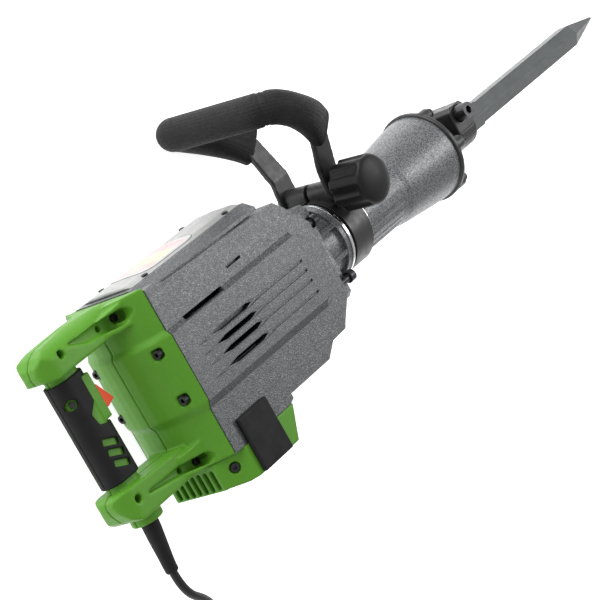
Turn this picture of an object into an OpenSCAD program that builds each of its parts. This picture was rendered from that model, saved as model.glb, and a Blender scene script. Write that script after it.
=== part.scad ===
// Electric demolition hammer (jackhammer) with a hexagonal bull-point bit.
// The tool lies on its left side: +X points forward along the bit, +Y towards the
// top cover and the side handle, +Z towards the tool's right side.
// Inside the modules, x runs along the hammer axis, y is the height above that
// axis on the upright tool, and z is the distance from the tool's middle plane.

/* [Overall] */
// Height of the hammer axis above the floor
lift = 76; // [76:1:90]
// Half width of the motor and crank housing
side_w = 60; // [58:1:62]
// Extra half width of the raised middle panel of the housing
panel_step = 4; // [2:1:5]
// Wall thickness of the cast housing
wall = 5; // [4:0.5:6]

/* [Hammer mechanism] */
// Inner radius of the cylinder liner
bore_r = 30; // [29:0.5:31]
// Radius of the crank circle
crank_r = 20; // [16:1:22]
// Length of the connecting rod between its pins
rod_length = 95; // [90:1:100]
// Across-flats size of the bit shank
hex_af = 30; // [30:1:30]
// Across-flats size of the bit body
bit_af = 27; // [24:1:29]
// Whole length of the bit
bit_length = 410; // [390:5:430]

/* [Gears] */
// Module of the motor pinion and the wheel it drives
fast_module = 1.5; // [1.5:0.5:1.5]
// Module of the crank gear and its pinion
slow_module = 2; // [2:0.5:2]
// Teeth on the motor pinion
motor_teeth = 12; // [12:1:12]
// Teeth on the large intermediate wheel
wheel_teeth = 46; // [46:1:46]
// Teeth on the intermediate pinion
pinion_teeth = 16; // [16:1:16]
// Teeth on the crank gear
crank_teeth = 44; // [44:1:44]

/* [Handles] */
// Swivel of the side handle about the hammer axis, towards the right side
handle_swivel = 5; // [0:1:10]
// Half length of the straight part of the side handle's crossbar
bar_half = 64; // [60:1:68]
// Radius of the rubber on the crossbar
bar_r = 18.5; // [17:0.5:19]
// Half width of the rear handle's arms
arm_w = 23; // [21:1:25]

/* [Cord] */
// Outer diameter of the mains cord
cord_d = 9; // [9:0.5:9]

/* [Hidden] */

// Middle of the whole tool along X and Y, so that the origin is centred below it
mid_x = 135;
mid_y = 36.2;

// Stations along the hammer axis
rear_x = -276;       // joint between the cast housing and the rear handle shells
front_x = -24;       // front face of the cast housing
flange_x = -1;       // front face of the barrel flange
rim_x = 254;         // front rim of the barrel
nose_x = 347;        // front end of the nose cover
tip_x = 676;         // point of the bit
bit_back_x = tip_x - bit_length;

// Vertical shafts of the gear train
crank_x = -115.5;
wheel_x = crank_x - slow_module*(pinion_teeth + crank_teeth)/2;
motor_x = wheel_x - fast_module*(motor_teeth + wheel_teeth)/2;

// Rear handle
grip_x = -373;       // middle of the grip bar
arm_y = 82;          // middle height of each arm
crown_x = -305;      // rearmost line of the crowned rear face
mould_gap = 0.15;    // half of the joint between the two moulded halves
running = 0.05;      // radial clearance of shafts in their bearings

// Side handle
clamp_x = 61;        // clamp bolt along the hammer axis
clamp_h = 49;        // clamp bolt above the hammer axis
neck_r = 38;         // barrel neck under the clamp band
bar_x = -30;         // crossbar along the hammer axis
bar_h = 176.5;       // crossbar above the hammer axis
cuff_h = 118;        // lower edge of the rubber on each arm
cuff_t = 49;         // half distance between the arms at the rubber

// Cord: the guard's end, and the route of the cord from there
guard_x = -366;
guard_end = [-372, -160];
r_cord = cord_d/2;
cord_route = [[-372, -160, 0], [-371.9, -166, -0.1], [-370.5, -175, -0.8], [-367.1, -183.6, -2.5],
    [-361.9, -191.3, -5.1], [-355.2, -197.7, -8.4], [-347, -203.9, -12.7], [-336, -213, -20],
    [-325, -224, -29], [-314, -236, -39],
    [-303, -250, -49], [-292, -264, -58], [-280, -279, -65.5], [-267, -293, -70],
    [-253, -306, -71.5], [-238, -317, -71.5], [-222, -326, -71.5], [-206, -331, -71.5],
    [-200, -331.5, -71.5]];
coil_d = 135;        // outer diameter of the cord's storage coil
coil_x = -200;
coil_y = -331.5 - coil_d/2 + r_cord;
coil_h = 27;         // three layers of cord
coil_w = 27;         // three turns side by side

module placed() translate([-mid_x, -mid_y, lift]) children();

// Turns a shape drawn about Z so that it lies about the hammer axis
module along_x(x = 0) translate([x, 0, 0]) rotate([0, 90, 0]) children();
// Stands a shape drawn about Z upright in the tool, from height y
module along_y(x, y, z = 0) translate([x, y, z]) rotate([-90, 0, 0]) children();

module ring(r_out, r_in, length) difference() {
    cylinder(r = r_out, h = length, $fn = 64);
    translate([0, 0, -1]) cylinder(r = r_in, h = length + 2, $fn = 64);
}

// Flat plate whose outline is drawn in the tool's side view
module slab(z0, z1) translate([0, 0, z0]) linear_extrude(z1 - z0) children();

// Hexagon socket cap screw, head up, with its head's underside at z = 0
module cap_screw(head_r, head_h, shank_r, shank_l) {
    difference() {
        cylinder(r = head_r, h = head_h, $fn = 32);
        translate([0, 0, head_h*0.45]) cylinder(r = head_r*0.55, h = head_h, $fn = 6);
    }
    translate([0, 0, -shank_l]) cylinder(r = shank_r, h = shank_l + 0.01, $fn = 24);
}

// Spur gear outline; half the backlash is taken from each flank
module gear_2d(teeth, module_size, turn = 0) {
    pitch_r = teeth*module_size/2;
    tip_r = pitch_r + 0.75*module_size;
    root_r = pitch_r - 0.95*module_size;
    step = 360/teeth;
    polygon([for (i = [0:teeth - 1], k = [[root_r, -0.33], [tip_r, -0.12], [tip_r, 0.12], [root_r, 0.33]])
        let (a = turn + (i + k[1])*step) [k[0]*cos(a), k[0]*sin(a)]]);
}

// ---------------------------------------------------------------- cast housing

// Side view of the cast housing
housing_side = [[rear_x, 92], [-262, 92], [-248, 87], [-60, 81.5], [-49, 71], [-37, 56],
    [front_x, 41], [front_x, -44], [-48, -66], [-54, -72.5], [-79, -73.5], [-93, -83],
    [-97, -86], [-170, -86], [-170, -91], [-178, -94], [rear_x, -94]];
// The same, one wall further in
cavity_side = [[rear_x - 1, 81], [-82, 77], [-64, 64], [-46, 48], [front_x - 6, 39],
    [front_x - 6, -42], [-56, -66], [-84, -68], [-98, -80], [-178, -80], [-178, -95],
    [rear_x - 1, -95]];
vent_y = [15, 3.7, -8, -21.5];

// Long scoop that widens into an opening towards the rear
module vent(y) for (side = [-1, 1]) translate([0, y, side*(side_w + panel_step)]) {
    translate([0, 0, -1.8]) linear_extrude(3.6) polygon([[-253, 0], [-216, 3.5], [-164, 3.6], [-148, 1.3],
        [-66, 1.3], [-66, -1.3], [-148, -1.3], [-164, -3.2], [-216, -3.4]]);
    translate([0, 0, -10]) linear_extrude(20) polygon([[-228, 0.4], [-212, 2.7], [-166, 2.7], [-158, 0.6],
        [-168, -2.4], [-212, -2.6]]);
}

module crank_housing() placed() color([0.42, 0.44, 0.45]) difference() {
    union() {
        slab(-side_w, side_w) polygon(housing_side);
        // Raised middle panel
        slab(-side_w - panel_step, side_w + panel_step)
            polygon([[rear_x, 41], [-60, 41], [-46, 30], [-46, -26], [-60, -34], [rear_x, -34]]);
        // Chamfers above and below the panel
        translate([rear_x, 0, 0]) rotate([90, 0, 90]) linear_extrude(-60 - rear_x)
            polygon([[-42, -side_w], [-34.2, -side_w - panel_step + 0.1], [41.2, -side_w - panel_step + 0.1],
                [47, -side_w], [47, side_w], [41.2, side_w + panel_step - 0.1],
                [-34.2, side_w + panel_step - 0.1], [-42, side_w]]);
        // Sloping shoulders that carry the top cover
        translate([rear_x, 0, 0]) rotate([90, 0, 90]) linear_extrude(-77 - rear_x)
            polygon([[84, 52.5], [88, 52.5], [96, 40], [96, -40], [88, -52.5], [84, -52.5]]);
        // Boss behind the barrel flange
        along_x(front_x - 20) cylinder(r = 45, h = 20, $fn = 64);
    }
    slab(-side_w + wall, side_w - wall) polygon(cavity_side);
    // Opening under the top cover, and its screw holes
    translate([-262, 70, -28]) cube([172, 40, 56]);
    cover_screw_places() translate([0, 0, -9]) cylinder(r = 2.02, h = 12, $fn = 24);
    // Grooves along the shoulders
    for (side = [-1, 1]) translate([-255, 83.5, side*56 - 3]) cube([220, 6, 6]);
    // Through slot and small slot above the panel
    for (side = [-1, 1]) translate([0, 0, side*side_w - 8]) {
        translate([-249, 42.5, 0]) cube([66, 5, 16]);
        translate([-163, 57, 0]) cube([25, 3, 16]);
    }
    for (y = vent_y) vent(y);
    // Bore for the cylinder liner
    along_x(-60) cylinder(r = 34, h = 60, $fn = 64);
    // Screw holes of the rear shells
    for (y = [30, -22], side = [-1, 1])
        translate([rear_x - 1, y, side*46]) rotate([0, 90, 0]) cylinder(r = 2.6, h = 20, $fn = 24);
}

// Screws of the top cover, heads up, with the underside of the head at z = 0
module cover_screw_places() for (x = [-240, -100], z = [-33, 33])
    translate([x, 96.8, z]) rotate([-90, 0, 0]) children();

module top_cover() placed() color([0.72, 0.73, 0.74]) difference() {
    translate([-268, 0, 0]) rotate([90, 0, 90]) linear_extrude(190)
        polygon([[96, 38.8], [99, 26], [100, 0], [99, -26], [96, -38.8]]);
    // Chamfer at the front end
    translate([-80, 99.5, -45]) rotate([0, 0, -40]) cube([30, 10, 90]);
    cover_screw_places() {
        cylinder(r = 3.6, h = 8, $fn = 24);
        translate([0, 0, -2]) cylinder(r = 2.02, h = 4, $fn = 24);
    }
}

// ---------------------------------------------------------------- barrel

module barrel() placed() color([0.42, 0.44, 0.45]) difference() {
    union() {
        // Square flange with clipped corners
        translate([front_x, 0, 0]) rotate([90, 0, 90]) linear_extrude(flange_x - front_x)
            polygon([[56, 38], [50, 44], [-50, 44], [-56, 38], [-56, -38], [-50, -44], [50, -44], [56, -38]]);
        along_x() rotate_extrude($fn = 96) polygon([[34, flange_x - 1], [39, flange_x - 1], [39, 28],
            [44, 28], [44, 35], [neck_r, 35], [neck_r, 83], [40, 84], [40, 150], [41.3, 158],
            [43.4, 166], [44.5, 174], [47, 198], [49.6, 222], [51.3, 240], [52, rim_x], [34, rim_x]]);
        // Webs between the flange and the collar
        for (a = [22.5:45:337.5]) rotate([a, 0, 0]) translate([flange_x - 1, -2.5, 36]) cube([31, 5, 7.4]);
        // Ribs along the neck
        for (a = [-24:12:204]) rotate([a, 0, 0]) translate([85, -0.8, 37]) cube([66, 1.6, 3.7]);
    }
    along_x(front_x - 1) cylinder(r = 34, h = 300, $fn = 64);
    // Wider bore for the front sleeve
    along_x(190) cylinder(r = 44, h = rim_x - 189, $fn = 64);
    nose_bolt_places() translate([0, 0, -36]) cylinder(r = 3.02, h = 30, $fn = 24);
    // Flange bolt holes
    for (y = [-36, 36], z = [-48, 48]) translate([front_x - 1, y, z]) rotate([0, 90, 0])
        cylinder(r = 4.2, h = 30, $fn = 24);
    // The upper two sit in counterbores
    for (z = [-48, 48]) translate([flange_x - 9, 36, z]) rotate([0, 90, 0]) cylinder(r = 7, h = 12, $fn = 32);
}

module collar_rings() placed() color([0.8, 0.81, 0.82]) {
    along_x(35) ring(45.5, neck_r + 0.02, 3.5);
    along_x(78.6) ring(42.5, neck_r + 0.02, 2.4);
}

module cylinder_liner() placed() color([0.7, 0.71, 0.72]) along_x(-60) ring(34, bore_r, 210);

module barrel_sleeve() placed() color([0.6, 0.61, 0.62]) difference() {
    along_x(190) cylinder(r = 44, h = rim_x - 190, $fn = 64);
    along_x(189) cylinder(r = 24, h = 100, $fn = 48);
    along_x(189) cylinder(r = 30, h = 9, $fn = 48);
}

// ---------------------------------------------------------------- nose

nose_bolt_angles = [30, 90, 150, 210, 270, 330];
retainer_x = 311;
retainer_y = 22;
retainer_r = 9.5;

module nose_bolt_places() for (a = nose_bolt_angles)
    rotate([a, 0, 0]) translate([rim_x + 18, 47.7, 0]) rotate([0, 90, 0]) children();

module nose_cover() placed() color([0.13, 0.13, 0.14]) difference() {
    union() {
        along_x() rotate_extrude($fn = 96) polygon([[18, rim_x], [55, rim_x], [55, rim_x + 6],
            [52, rim_x + 7.5], [40, rim_x + 12], [30, rim_x + 15], [25, rim_x + 18.5],
            [23.5, rim_x + 24], [23.5, nose_x - 3], [21.5, nose_x], [18, nose_x]]);
        for (a = nose_bolt_angles) rotate([a, 0, 0]) translate([rim_x + 4, 47.7, 0])
            rotate([0, 90, 0]) cylinder(r = 8.2, h = 14, $fn = 32);
        // Block around the retainer
        translate([0, 0, -35]) linear_extrude(70) polygon([[retainer_x - 16, 0], [retainer_x - 16, 29],
            [retainer_x - 11, 34], [retainer_x + 11, 34], [retainer_x + 16, 29], [retainer_x + 16, 0]]);
    }
    along_x(rim_x - 1) cylinder(r = 20, h = 130, $fn = 48);
    nose_bolt_places() translate([0, 0, -22]) cylinder(r = 3.02, h = 30, $fn = 24);
    nose_bolt_places() cylinder(r = 7, h = 30, $fn = 32);
    translate([retainer_x, retainer_y, -40]) cylinder(r = retainer_r + running, h = 80, $fn = 48);
}

// Hard bushing with the hexagonal hole for the shank
module tool_bushing() placed() color([0.5, 0.5, 0.52]) difference() {
    along_x(rim_x + 8) cylinder(r = 20, h = nose_x - rim_x - 8, $fn = 48);
    translate([rim_x, 0, 0]) rotate([0, 90, 0])
        cylinder(r = (hex_af/2 + 0.3)/cos(30), h = 150, $fn = 6);
    translate([retainer_x, retainer_y, -40]) cylinder(r = retainer_r + 0.3, h = 80, $fn = 48);
}

module tool_retainer() placed() color([0.16, 0.16, 0.17]) difference() {
    translate([retainer_x, retainer_y, -50]) union() {
        cylinder(r = retainer_r, h = 100, $fn = 48);
        cylinder(r = retainer_r + 1.5, h = 9, $fn = 48);
    }
    // Socket in the end face, and the flat that frees the shank when it faces down
    translate([retainer_x, retainer_y, 43]) cylinder(r = 5, h = 8, $fn = 6);
    translate([retainer_x - 15, retainer_y + 6, -17]) cube([30, 12, 34]);
}

module retainer_spring() placed() color([0.6, 0.6, 0.62]) translate([retainer_x, retainer_y, -40.7])
    rotate_extrude($fn = 48) polygon([for (k = [0:11]) [retainer_r + 0.9 + 0.7*cos(30*k), 2.4 + 1.6*sin(30*k)]]);

module bit() placed() color([0.3, 0.33, 0.33]) difference() {
    union() {
        // Shank
        translate([bit_back_x, 0, 0]) rotate([0, 90, 0]) cylinder(r = hex_af/2/cos(30), h = 112, $fn = 6);
        // Body
        translate([bit_back_x + 111, 0, 0]) rotate([0, 90, 0])
            cylinder(r = bit_af/2/cos(30), h = bit_length - 111 - 62, $fn = 6);
        // Four-sided point
        hull() {
            translate([tip_x - 64, 0, 0]) rotate([0, 90, 0])
                cylinder(r = bit_af/2/cos(30), h = 2, $fn = 6);
            translate([tip_x - 1, 0, 0]) rotate([0, 90, 0]) cylinder(r = 1.6, h = 1, $fn = 6);
        }
    }
    // Notch that the retainer sits in, long enough for the working stroke
    translate([retainer_x - 32, 12, -25]) cube([64, 10, 50]);
}

// ---------------------------------------------------------------- hammer mechanism

module impact_bolt() placed() color([0.55, 0.56, 0.58]) along_x() rotate_extrude($fn = 64)
    polygon([[0, 152], [20, 152], [20, 176], [28, 180], [28, 188], [23.9, 191], [23.9, 244],
        [14.5, 252], [14.5, 258], [0, 258]]);

module buffer_ring() placed() color([0.1, 0.1, 0.1]) along_x(150.5) ring(33.9, 20.3, 21);

module striker() placed() color([0.55, 0.56, 0.58]) difference() {
    along_x() rotate_extrude($fn = 64) polygon([[0, 84], [29.9, 84], [29.9, 92], [27, 92],
        [27, 96], [29.9, 96], [29.9, 132], [22, 140], [0, 140]]);
}

module striker_seal() placed() color([0.1, 0.1, 0.1]) along_x(92) ring(29.9, 27, 4);

module piston() placed() color([0.72, 0.73, 0.75]) difference() {
    along_x() rotate_extrude($fn = 64) polygon([[0, 18], [0, 30], [29.9, 30], [29.9, 24],
        [27, 24], [27, 20], [29.9, 20], [29.9, -22], [25, -22], [25, 16]]);
    translate([-0.5, 0, -40]) cylinder(r = 7, h = 80, $fn = 32);
}

module piston_seal() placed() color([0.1, 0.1, 0.1]) along_x(20) ring(29.9, 27, 4);

module wrist_pin() placed() color([0.8, 0.8, 0.82])
    translate([-0.5, 0, -27.5]) cylinder(r = 7, h = 55, $fn = 32);

module connecting_rod() placed() color([0.5, 0.51, 0.53]) difference() {
    union() {
        translate([-0.5, 0, -12]) cylinder(r = 12, h = 24, $fn = 32);
        translate([-0.5 - rod_length, -9, 0]) rotate([-90, 0, 0]) cylinder(r = 16, h = 18, $fn = 48);
        translate([-86, -6, -8]) cube([80, 12, 16]);
    }
    translate([-0.5, 0, -13]) cylinder(r = 7, h = 26, $fn = 32);
    along_y(-0.5 - rod_length, -10) cylinder(r = 8, h = 20, $fn = 32);
}

module crank_pin() placed() color([0.8, 0.8, 0.82])
    along_y(-0.5 - rod_length, -10) cylinder(r = 8, h = 21.9, $fn = 32);

module crankshaft() placed() color([0.55, 0.56, 0.58]) union() {
    along_y(crank_x, 12.3) difference() {
        cylinder(r = 34, h = 11.5, $fn = 64);
        // Seat of the crank pin
        translate([crank_r, 0, -1]) cylinder(r = 8.3, h = 9, $fn = 32);
    }
    along_y(crank_x, 23) cylinder(r = 10, h = 47, $fn = 48);
}

module crank_gear() placed() color([0.5, 0.5, 0.5]) along_y(crank_x, 42) difference() {
    linear_extrude(12) gear_2d(crank_teeth, slow_module, 180 + 180/crank_teeth);
    translate([0, 0, -1]) cylinder(r = 10, h = 14, $fn = 48);
}

module crank_bearings() placed() color([0.75, 0.76, 0.78]) {
    along_y(crank_x, 26) ring(20, 10 + running, 12);
    along_y(crank_x, 57) ring(20, 10 + running, 12);
}

module gear_plate() placed() color([0.65, 0.66, 0.67]) difference() {
    union() {
        translate([-137, 26, -side_w + wall]) cube([54, 12, 2*(side_w - wall)]);
        translate([-262, 6, -side_w + wall]) cube([108, 12, 2*(side_w - wall)]);
        // Rails along the side walls join the two bearing plates
        for (z = [-side_w + wall, side_w - wall - 8]) translate([-262, 6, z]) cube([179, 32, 8]);
    }
    along_y(crank_x, 25) cylinder(r = 20, h = 14, $fn = 48);
    along_y(wheel_x, 5) cylinder(r = 13, h = 14, $fn = 48);
    along_y(motor_x, 5) cylinder(r = 14, h = 14, $fn = 48);
}

module gear_cover() placed() color([0.65, 0.66, 0.67]) difference() {
    translate([-262, 57, -side_w + wall]) cube([181, 12, 2*(side_w - wall)]);
    along_y(crank_x, 56) cylinder(r = 20, h = 14, $fn = 48);
    along_y(wheel_x, 56) cylinder(r = 13, h = 14, $fn = 48);
}

module intermediate_shaft() placed() color([0.55, 0.56, 0.58]) union() {
    along_y(wheel_x, 6) cylinder(r = 6, h = 63, $fn = 32);
    along_y(wheel_x, 40) linear_extrude(16) gear_2d(pinion_teeth, slow_module);
}

module intermediate_wheel() placed() color([0.5, 0.5, 0.5]) along_y(wheel_x, 26) difference() {
    linear_extrude(10) gear_2d(wheel_teeth, fast_module, 180 + 180/wheel_teeth);
    translate([0, 0, -1]) cylinder(r = 6, h = 12, $fn = 32);
}

module intermediate_bearings() placed() color([0.75, 0.76, 0.78]) {
    along_y(wheel_x, 6) ring(13, 6 + running, 12);
    along_y(wheel_x, 57) ring(13, 6 + running, 12);
}

// ---------------------------------------------------------------- motor

module armature() placed() color([0.5, 0.42, 0.35]) union() {
    along_y(motor_x, -116.5) cylinder(r = 6, h = 142.5, $fn = 32);
    along_y(motor_x, 24) linear_extrude(15) gear_2d(motor_teeth, fast_module);
    along_y(motor_x, -72) cylinder(r = 24, h = 40, $fn = 64);
    along_y(motor_x, -80) cylinder(r = 19, h = 56, $fn = 64);
}

module commutator() placed() color([0.75, 0.48, 0.3]) along_y(motor_x, -100) ring(15, 6, 17);

module cooling_fan() placed() color([0.2, 0.2, 0.22]) along_y(motor_x, -20) {
    difference() {
        union() {
            cylinder(r = 44, h = 2.5, $fn = 64);
            cylinder(r = 12, h = 18, $fn = 48);
            for (a = [0:30:330]) rotate([0, 0, a]) translate([11, -1, 2]) cube([32, 2, 14]);
        }
        translate([0, 0, -1]) cylinder(r = 6, h = 20, $fn = 32);
    }
}

module stator() placed() color([0.45, 0.3, 0.25]) along_y(motor_x, -76) difference() {
    cylinder(r = 54.9, h = 46, $fn = 64);
    translate([0, 0, -1]) cylinder(r = 25, h = 48, $fn = 64);
}

module motor_bearings() placed() color([0.75, 0.76, 0.78]) {
    along_y(motor_x, 6) ring(14, 6 + running, 12);
    along_y(motor_x, -117) ring(13, 6 + running, 9);
}

module fan_baffle() placed() color([0.15, 0.15, 0.16]) difference() {
    translate([-264, -26, -side_w + wall]) cube([89, 3, 2*(side_w - wall)]);
    along_y(motor_x, -27) cylinder(r = 30, h = 5, $fn = 64);
}

module carbon_brushes() placed() color([0.15, 0.15, 0.15]) for (side = [-1, 1])
    translate([motor_x - 4, -97, side*25.2 - 10]) cube([8, 11, 20]);

module brush_holders() placed() color([0.8, 0.65, 0.35]) for (side = [-1, 1]) difference() {
    translate([motor_x - 6, -99, side*34 - 16]) cube([12, 15, 32]);
    translate([motor_x - 4, -97, side*34 - 20]) cube([8, 11, 40]);
}

// ---------------------------------------------------------------- tail cover

// Plan of the tail cover: sides, bevelled rear corners and a flat rear face
tail_plan = [[-174, side_w], [-262, side_w], [-291, 36], [-291, -36], [-262, -side_w], [-174, -side_w]];

module tail_cover() placed() color([0.34, 0.57, 0.18]) difference() {
    intersection() {
        translate([0, -94, 0]) rotate([90, 0, 0]) linear_extrude(34.4) polygon(tail_plan);
        slab(-side_w, side_w) polygon([[-174, -94], [-192, -128.2], [-271, -128.2], [-287, -124],
            [-291, -124], [-291, -94]]);
    }
    // Inside, round the seat of the lower motor bearing
    difference() {
        translate([-266, -122, -50]) cube([66, 30, 100]);
        along_y(motor_x, -123) cylinder(r = 17, h = 15, $fn = 48);
    }
    along_y(motor_x, -117) cylinder(r = 13, h = 30, $fn = 48);
    // Upright louvre slots in the rear face
    for (k = [-3:3]) translate([-293, -122, k*9.6 - 2.4]) cube([28, 22, 4.8]);
    tail_corners() cylinder(r = 6, h = 20, $fn = 32);
    tail_corners() translate([0, 0, -8]) cylinder(r = 2.02, h = 9, $fn = 24);
    tail_fronts() translate([0, 0, -12]) cylinder(r = 2.52, h = 13, $fn = 24);
}

// Screw seats on the bevelled rear corners and on the sloping front
bevel_turn = 39.6;
front_turn = atan2(18, 34.2);
module tail_corners() for (side = [-1, 1]) translate([-273.3, -108, side*44.2])
    rotate([0, side > 0 ? -bevel_turn : bevel_turn - 180, 0]) children();
module tail_fronts() for (side = [-1, 1]) translate([-180.8, -107, side*50])
    rotate([0, 0, -front_turn]) rotate([0, 90, 0]) children();

module tail_screws() placed() color([0.12, 0.12, 0.12]) {
    tail_corners() cap_screw(4.4, 5, 2, 7);
    tail_fronts() cap_screw(4.6, 5, 2.5, 11);
}

// ---------------------------------------------------------------- rear handle

// Rear face in plan, from the joint with the housing to the middle plane
shell_plan = [[rear_x, 0], [rear_x, 64], [-282, 56], [-289, 48], [-295, 37], [-300, 25], [-303.5, 12],
    [crown_x, 0]];
recess_plan = [[rear_x, 0], [rear_x, 60], [-280, 53], [-285, 46], [-291, 36], [-296, 25], [-299, 12],
    [-300.5, 0]];
chamfer_plan = [for (p = recess_plan) [p[0] == rear_x ? rear_x : p[0] + 0.4, p[1]]];
module plan_slice(y) translate([0, y, 0]) rotate([-90, 0, 0]) mirror([0, 1, 0]) linear_extrude(0.1) children();
module upper_arm_side() polygon([[-279, 94], [-300, 99], [-340, 101], [-385, 98.5], [-396, 94],
    [-404, 86], [-406, 77], [-404, 70], [-392, 66], [-290, 67], [-279, 60]]);
module lower_arm_side() polygon([[-279, -60], [-290, -64], [-396, -60], [-404, -63], [-405.5, -68],
    [-404, -77], [-398, -88], [-388, -94], [-279, -94]]);
// Bar between the arms, longer along the tool than across it
module grip_bar(r, y0, y1) {
    along_y(grip_x - 4, y0) cylinder(r = r, h = y1 - y0, $fn = 48);
    along_y(grip_x + 8, y0) cylinder(r = r, h = y1 - y0, $fn = 48);
    translate([grip_x - 4, y0, -r]) cube([12, y1 - y0, 2*r]);
}

// Wedge-shaped grooves along the arms, the screws in them and the round wells
module grooves() translate([0, 0, arm_w - 5]) linear_extrude(30) {
    polygon([[-283, 87], [-366, 88], [-339, 77], [-300, 71.5], [-283, 71]]);
    polygon([[-283, -79.5], [-315.5, -76.5], [-369, -75], [-369, -77], [-315, -86], [-283, -93]]);
}
arm_screws = [[-292, 80], [-292, -85]];
arm_wells = [[-375, 84], [-382, -74]];

// One moulded half of the rear handle, on the side of positive z
module shell_half() {
    // Crowned rear face of the motor housing
    difference() {
        union() {
            translate([0, -94, 0]) rotate([-90, 0, 0]) mirror([0, 1, 0]) linear_extrude(189) polygon(recess_plan);
            // Middle band, with chamfers down to the rest
            hull() {
                plan_slice(-42) polygon(chamfer_plan);
                plan_slice(-34) polygon(shell_plan);
                plan_slice(41) polygon(shell_plan);
                plan_slice(47) polygon(chamfer_plan);
            }
        }
        translate([-283, -88, -1]) cube([10, 174, 45]);
        translate([-290, -86, -1]) cube([8, 170, 31]);
    }
    // Arms, with the upper one half round on top
    difference() {
        slab(0, arm_w) {
            upper_arm_side();
            lower_arm_side();
        }
        difference() {
            translate([-410, 78, 0]) cube([131, 30, 30]);
            along_x(-411) translate([0, 77, 0]) cylinder(r = 24.2, h = 140, $fn = 64);
        }
        // Rear ends rounded in plan
        for (y = [55, -100]) difference() {
            translate([-410, y, 0]) cube([26, 50, 30]);
            along_y(-384, y - 1) cylinder(r = arm_w, h = 52, $fn = 48);
        }
        grooves();
    }
    difference() {
        union() {
            // Flared roots of the arms
            hull() {
                translate([-284, 66, 0]) cube([2, 28, 42]);
                translate([-318, 68, 0]) cube([2, 20, arm_w - 0.2]);
            }
            hull() {
                translate([-284, -93, 0]) cube([2, 28, 42]);
                translate([-318, -92, 0]) cube([2, 22, arm_w - 0.2]);
            }
        }
        grooves();
    }
    intersection() {
        grip_bar(13, -66, 70);
        translate([-400, -70, 0]) cube([60, 150, 40]);
    }
    // Cheek beside the trigger
    translate([-366, 3, 0]) cube([19, 49.7, 11]);
    // Collar that holds the cord guard
    intersection() {
        along_y(guard_x, -104) cylinder(r = 17, h = 14, $fn = 48);
        translate([-400, -110, 0]) cube([60, 30, 30]);
    }
}

module handle_holes() {
    // Switch space and trigger slot inside the grip bar
    translate([grip_x - 10, 3, -8]) cube([20, 50, 16]);
    translate([grip_x, 8, -5]) cube([30, 32, 10]);
    // Cord way through the bar and the lower arm
    along_y(guard_x, -110) cylinder(r = 5, h = 116, $fn = 32);
    // Screws of the rear face and of the arms
    for (y = [30, -22], side = [-1, 1]) translate([-310, y, side*46]) rotate([0, 90, 0]) {
        cylinder(r = 2.6, h = 40, $fn = 24);
        translate([-5.5, -5.5, 0]) cube([11, 11, 25.5]);
    }
    for (p = arm_screws) {
        translate([p[0], p[1], -18]) cylinder(r = 2.22, h = 48, $fn = 24);
        translate([p[0], p[1], arm_w - 5 + mould_gap]) cylinder(r = 6, h = 30, $fn = 24);
        translate([-315, p[1] + (p[1] > 0 ? 0.5 : 3.5), 10]) cylinder(r = 3.4, h = 20, $fn = 24);
    }
    for (p = arm_wells) translate([p[0], p[1], 10]) cylinder(r = 4.5, h = 20, $fn = 24);
    // Trigger pivot
    translate([-349, 36, -9]) cylinder(r = 2 + running, h = 18, $fn = 24);
    // Lock button
    translate([-386.5, 36.2, 8]) cylinder(r = 4.5, h = 16, $fn = 32);
}

module handle_shell_right() placed() color([0.34, 0.57, 0.18]) difference() {
    translate([0, 0, mould_gap]) shell_half();
    handle_holes();
}

module handle_shell_left() placed() color([0.34, 0.57, 0.18]) difference() {
    mirror([0, 0, 1]) translate([0, 0, mould_gap]) shell_half();
    handle_holes();
}

// Soft grip halves around the bar, with three windows that show the shell
module grip_half() difference() {
    intersection() {
        grip_bar(16.5, -54, 60);
        translate([-400, -60, mould_gap]) cube([60, 130, 40]);
    }
    translate([0, 0, mould_gap]) grip_bar(13.02, -66, 70);
    // The front of the upper part is left to the shell and the trigger
    translate([0, 0, -1]) linear_extrude(40) polygon([[-330, 53], [-362, 53], [-362.6, 27], [-374, 17.5],
        [-371, 5], [-359, 1.3], [-330, 1.3]]);
    for (y = [-14.6, -26, -38]) translate([-370.5, y, 4]) rotate([0, 0, -22]) translate([-10.2, -3.4, 0])
        cube([20.4, 6.8, 20]);
}

module grip_right() placed() color([0.16, 0.16, 0.17]) difference() {
    grip_half();
    translate([-386.5, 36.2, 4]) cylinder(r = 5.4, h = 16, $fn = 32);
}
module grip_left() placed() color([0.16, 0.16, 0.17]) mirror([0, 0, 1]) grip_half();

module switch_body() placed() color([0.12, 0.12, 0.12])
    translate([grip_x - 9.5, 4, -8]) cube([14.5, 46, 16]);

module trigger() placed() color([0.92, 0.28, 0.1]) difference() {
    union() {
        slab(-4.6, 4.6)
            polygon([[-346, 39], [-340.5, 36], [-328.7, 14.5], [-340, 10.5], [-354, 10.5], [-354, 39]]);
        // Pivot pin
        translate([-349, 36, -8]) cylinder(r = 2, h = 16, $fn = 24);
    }
    // Pocket of the spring
    translate([-356, 24, 0]) rotate([0, 90, 0]) cylinder(r = 4.1, h = 10, $fn = 32);
}

module trigger_spring() placed() color([0.7, 0.7, 0.72]) translate([grip_x + 5, 24, 0]) rotate([0, 90, 0])
    ring(2.8, 2, 16.5);

module lock_button() placed() color([0.08, 0.08, 0.08])
    translate([-386.5, 36.2, 10.8]) cylinder(r = 4.2, h = 3.2, $fn = 32);

module handle_screws() placed() color([0.12, 0.12, 0.12]) {
    for (y = [30, -22], side = [-1, 1]) translate([-284.5, y, side*46]) rotate([0, -90, 0])
        cap_screw(4.6, 7, 2.5, 20);
    for (p = arm_screws) translate([p[0], p[1], arm_w - 5 + mould_gap]) cap_screw(3.9, 4, 2.2, 34);
}

// ---------------------------------------------------------------- side handle

module swivelled() rotate([handle_swivel, 0, 0]) children();

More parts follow.
